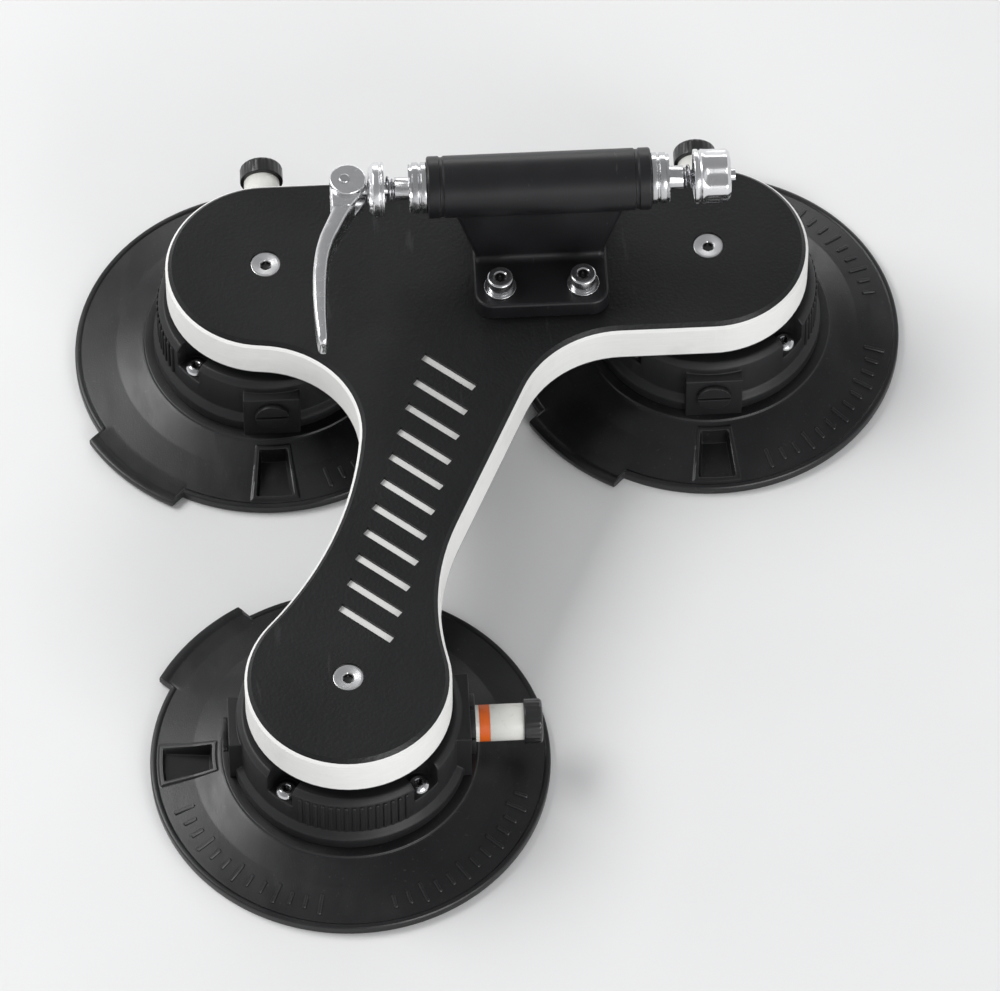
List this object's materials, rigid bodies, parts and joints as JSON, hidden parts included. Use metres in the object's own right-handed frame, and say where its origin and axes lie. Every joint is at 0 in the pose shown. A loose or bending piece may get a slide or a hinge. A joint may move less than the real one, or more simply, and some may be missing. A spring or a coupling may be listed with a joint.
{
  "type": "suction cup bike rack",
  "caption": "Suction cup bike rack: a flat black board with a white core on vacuum pads, with a quick-release clamp for the front fork.",
  "frame": {"origin": "middle of the footprint, on the glass under the pads", "axes": "+X along the fork axle towards its adjusting nut, +Y from the rear pad to the two front pads, +Z away from the glass"},
  "size_m": [0.3244, 0.3454, 0.117],
  "materials": {
    "pad_rubber": "satin black rubber, dusty",
    "seal_rubber": "soft matt rubber",
    "hub_plastic": "fine grained black plastic",
    "button_plastic": "smooth black plastic",
    "plunger_plastic": "smooth white plastic",
    "warning_orange": "bright orange plastic",
    "board_black": "fine textured black polyethylene",
    "board_white": "routed white polyethylene",
    "steel": "stainless steel",
    "spring_steel": "drawn spring wire",
    "brass": "turned brass",
    "black_aluminium": "black anodised",
    "bare_aluminium": "polished and lightly scuffed"
  },
  "bodies": {
    "rack": {"left_pad": "pad_rubber", "left_clamp_plate": "steel", "left_hub": "hub_plastic", "left_hub_lid": "hub_plastic", "left_hub_screws": "steel", "left_insert": "brass", "left_gland": "hub_plastic", "left_return_spring": "spring_steel", "left_check_valve": "seal_rubber", "left_valve_plug": "hub_plastic", "right_pad": "pad_rubber", "right_clamp_plate": "steel", "right_hub": "hub_plastic", "right_hub_lid": "hub_plastic", "right_hub_screws": "steel", "right_insert": "brass", "right_gland": "hub_plastic", "right_return_spring": "spring_steel", "right_check_valve": "seal_rubber", "right_valve_plug": "hub_plastic", "rear_pad": "pad_rubber", "rear_clamp_plate": "steel", "rear_hub": "hub_plastic", "rear_hub_lid": "hub_plastic", "rear_hub_screws": "steel", "rear_insert": "brass", "rear_gland": "hub_plastic", "rear_return_spring": "spring_steel", "rear_check_valve": "seal_rubber", "rear_valve_plug": "hub_plastic", "board_bottom_skin": "board_black", "board_core": "board_white", "board_top_skin": "board_black", "board_bolts": "steel", "fork_block": "black_aluminium", "mount_screws": "steel", "mount_washers": "steel", "mount_nuts": "steel", "hollow_axle": "steel", "left_face_nut": "steel", "right_face_nut": "steel"},
    "left_pump": {"left_plunger": "plunger_plastic", "left_warning_band": "warning_orange", "left_piston_seal": "seal_rubber", "left_button": "button_plastic"},
    "right_pump": {"right_plunger": "plunger_plastic", "right_warning_band": "warning_orange", "right_piston_seal": "seal_rubber", "right_button": "button_plastic"},
    "rear_pump": {"rear_plunger": "plunger_plastic", "rear_warning_band": "warning_orange", "rear_piston_seal": "seal_rubber", "rear_button": "button_plastic"},
    "skewer": {"skewer_rod": "steel", "cam_pin": "steel", "left_cone_spring": "spring_steel", "right_cone_spring": "spring_steel"},
    "lever": {"cam_lever": "bare_aluminium"},
    "cup": {"clamp_cup": "bare_aluminium"},
    "nut": {"adjusting_nut": "bare_aluminium"}
  },
  "joints": [
    {"name": "left_pump_stroke", "type": "slide", "parent": "rack", "child": "left_pump", "axis": [0, 1, 0], "range_m": [-0.018, 0], "stiffness_N_per_m": 300, "springref_m": 0.006, "deforming": ["left_return_spring"]},
    {"name": "right_pump_stroke", "type": "slide", "parent": "rack", "child": "right_pump", "axis": [0, 1, 0], "range_m": [-0.018, 0], "stiffness_N_per_m": 300, "springref_m": 0.006, "deforming": ["right_return_spring"]},
    {"name": "rear_pump_stroke", "type": "slide", "parent": "rack", "child": "rear_pump", "axis": [1, 0, 0], "range_m": [-0.018, 0], "stiffness_N_per_m": 300, "springref_m": 0.006, "deforming": ["rear_return_spring"]},
    {"name": "skewer_turn", "type": "hinge", "parent": "rack", "child": "skewer", "pos_m": [0.02, 0.0965, 0.105], "axis": [-1, 0, 0], "range_deg": [-20, 200]},
    {"name": "lever_throw", "type": "hinge", "parent": "skewer", "child": "lever", "pos_m": [-0.05465, 0.0965, 0.105], "axis": [0, 0, -1], "range_deg": [0, 180]},
    {"name": "cup_release", "type": "slide", "parent": "skewer", "child": "cup", "axis": [-1, 0, 0], "range_m": [0, 0.0025], "deforming": ["left_cone_spring"]},
    {"name": "nut_turn", "type": "hinge", "parent": "skewer", "child": "nut", "pos_m": [0.0865, 0.0965, 0.105], "axis": [1, 0, 0], "continuous": true}
  ],
  "couplings": [
    {"joint": "cup_release", "follows": "lever_throw", "m_per_rad": 0.00077986}
  ]
}
